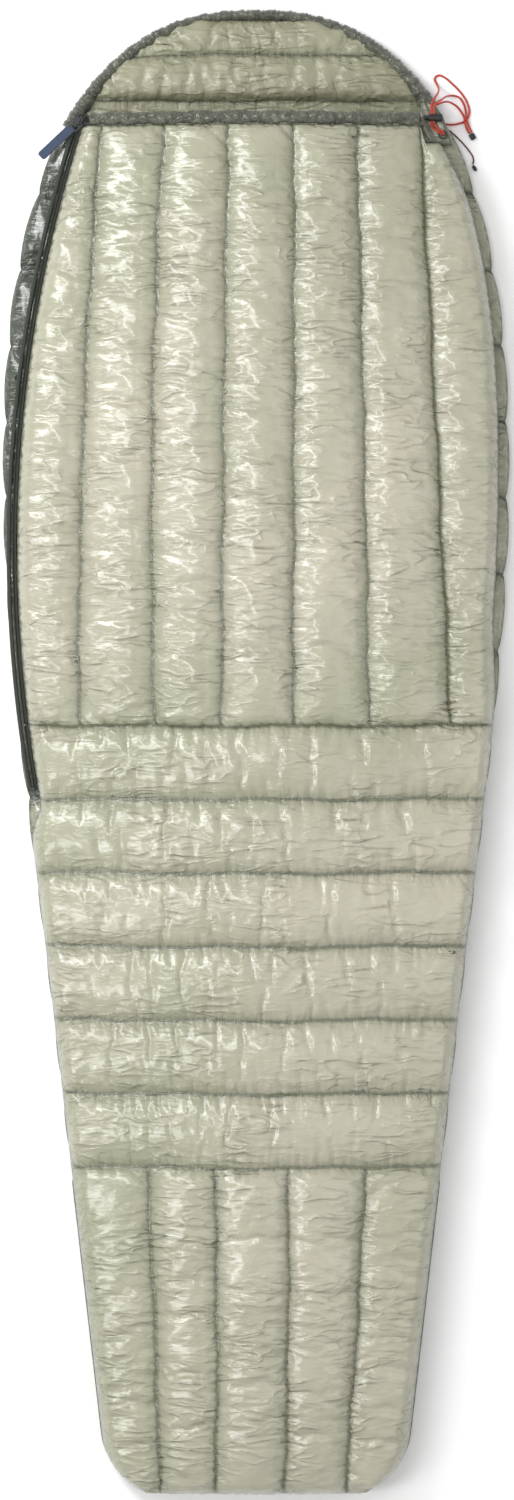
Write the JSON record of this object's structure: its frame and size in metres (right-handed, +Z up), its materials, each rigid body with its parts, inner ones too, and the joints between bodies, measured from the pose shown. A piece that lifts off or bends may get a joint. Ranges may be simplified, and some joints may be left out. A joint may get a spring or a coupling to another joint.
{
  "type": "mummy sleeping bag",
  "caption": "Down-filled mummy sleeping bag lying flat, with a side zip, a chest flap that folds open, a folding hood, a gathered hem and a drawcord with a sprung lock.",
  "frame": {"origin": "on the floor under the middle of the bag's length and width, on the flat underside of the back panel", "axes": "+Y along the bag to the head, +X to the right seen from above with the head up, +Z up off the floor"},
  "size_m": [0.684, 1.9996, 0.1119],
  "materials": {
    "top_shell": "glossy calendered down-proof nylon, pale sage beige, ripstop weave, finely wrinkled",
    "back_shell": "glossy down-proof nylon, dark grey green, crinkled",
    "lining": "soft down-proof nylon taffeta, beige green",
    "gathered_trim": "gathered glossy nylon channel, dark grey green",
    "zip_tape": "woven zip tape with a nylon coil, green black",
    "zip_metal": "dark lacquered die cast zinc",
    "tag_fabric": "woven nylon tape, slate blue",
    "red_cord": "braided elastic cord, orange red",
    "dark_cord": "thin braided elastic cord, dark red",
    "lock_plastic": "moulded acetal, black",
    "spring_steel": "spring wire"
  },
  "bodies": {
    "root": {"back_chest_chamber_1": "back_shell", "back_chest_chamber_2": "back_shell", "back_chest_chamber_3": "back_shell", "back_chest_chamber_4": "back_shell", "back_chest_chamber_5": "back_shell", "back_chest_chamber_6": "back_shell", "back_chest_chamber_7": "back_shell", "back_chest_chamber_8": "back_shell", "back_leg_chamber_1": "back_shell", "back_leg_chamber_2": "back_shell", "back_leg_chamber_3": "back_shell", "back_leg_chamber_4": "back_shell", "back_leg_chamber_5": "back_shell", "back_leg_chamber_6": "back_shell", "back_foot_panel": "back_shell", "chest_chamber_7": "top_shell", "leg_chamber_1": "top_shell", "leg_chamber_2": "top_shell", "leg_chamber_3": "top_shell", "leg_chamber_4": "top_shell", "leg_chamber_5": "top_shell", "leg_chamber_6": "top_shell", "foot_chamber_1": "top_shell", "foot_chamber_2": "top_shell", "foot_chamber_3": "top_shell", "foot_chamber_4": "top_shell", "foot_chamber_5": "top_shell", "neck_band": "lining", "neck_gusset": "back_shell", "zip_stringer_back": "zip_tape", "zip_stringer_lower": "zip_tape", "zip_top_stop": "zip_metal", "zip_bottom_stop": "zip_metal", "draft_tube": "lining", "cord_eyelet": "lock_plastic", "drawcord_loop": "red_cord", "drawcord_upper": "red_cord", "drawcord_lower": "red_cord", "cord_tip": "lock_plastic", "side_cord": "dark_cord", "side_cord_bead": "lock_plastic"},
    "flap": {"chest_chamber_1": "top_shell", "chest_chamber_2": "top_shell", "chest_chamber_3": "top_shell", "chest_chamber_4": "top_shell", "chest_chamber_5": "top_shell", "chest_chamber_6": "top_shell", "hem_channel": "gathered_trim", "hem_cord": "dark_cord", "zip_stringer_flap": "zip_tape"},
    "slider": {"zip_slider": "zip_metal"},
    "pull": {"pull_ring": "zip_metal", "pull_tag": "tag_fabric"},
    "hood": {"hood_chamber_lower": "lining", "hood_chamber_upper": "lining", "hood_rim": "gathered_trim", "hood_cord": "dark_cord"},
    "cord_lock": {"lock_housing": "lock_plastic", "lock_spring": "spring_steel"},
    "plunger": {"lock_plunger": "lock_plastic"}
  },
  "joints": [
    {"name": "flap_fold", "type": "hinge", "parent": "root", "child": "flap", "pos_m": [0.2375, 0.47, 0.072], "axis": [-0.0513, 0.9987, 0], "range_deg": [0, 60]},
    {"name": "zip_slide", "type": "hinge", "parent": "root", "child": "slider", "pos_m": [1.52174, 0.27331, 0], "axis": [0, 0, 1], "range_deg": [0, 27.5]},
    {"name": "tag_swing", "type": "hinge", "parent": "slider", "child": "pull", "pos_m": [-0.23832, 0.844, 0.03815], "axis": [-0.6823, 0.731, 0], "range_deg": [0, 110]},
    {"name": "hood_fold", "type": "hinge", "parent": "root", "child": "hood", "pos_m": [0, 0.876, 0.0304], "axis": [1, 0, 0], "range_deg": [0, 75]},
    {"name": "lock_slide", "type": "slide", "parent": "root", "child": "cord_lock", "axis": [0, 1, 0], "range_m": [0, 0.0075]},
    {"name": "plunger_press", "type": "slide", "parent": "cord_lock", "child": "plunger", "axis": [1, 0, 0], "range_m": [0, 0.0025], "stiffness_N_per_m": 200, "springref_m": -0.004}
  ],
  "couplings": [
    {"joint": "zip_slide", "follows": "flap_fold", "ratio": 0.45833}
  ]
}
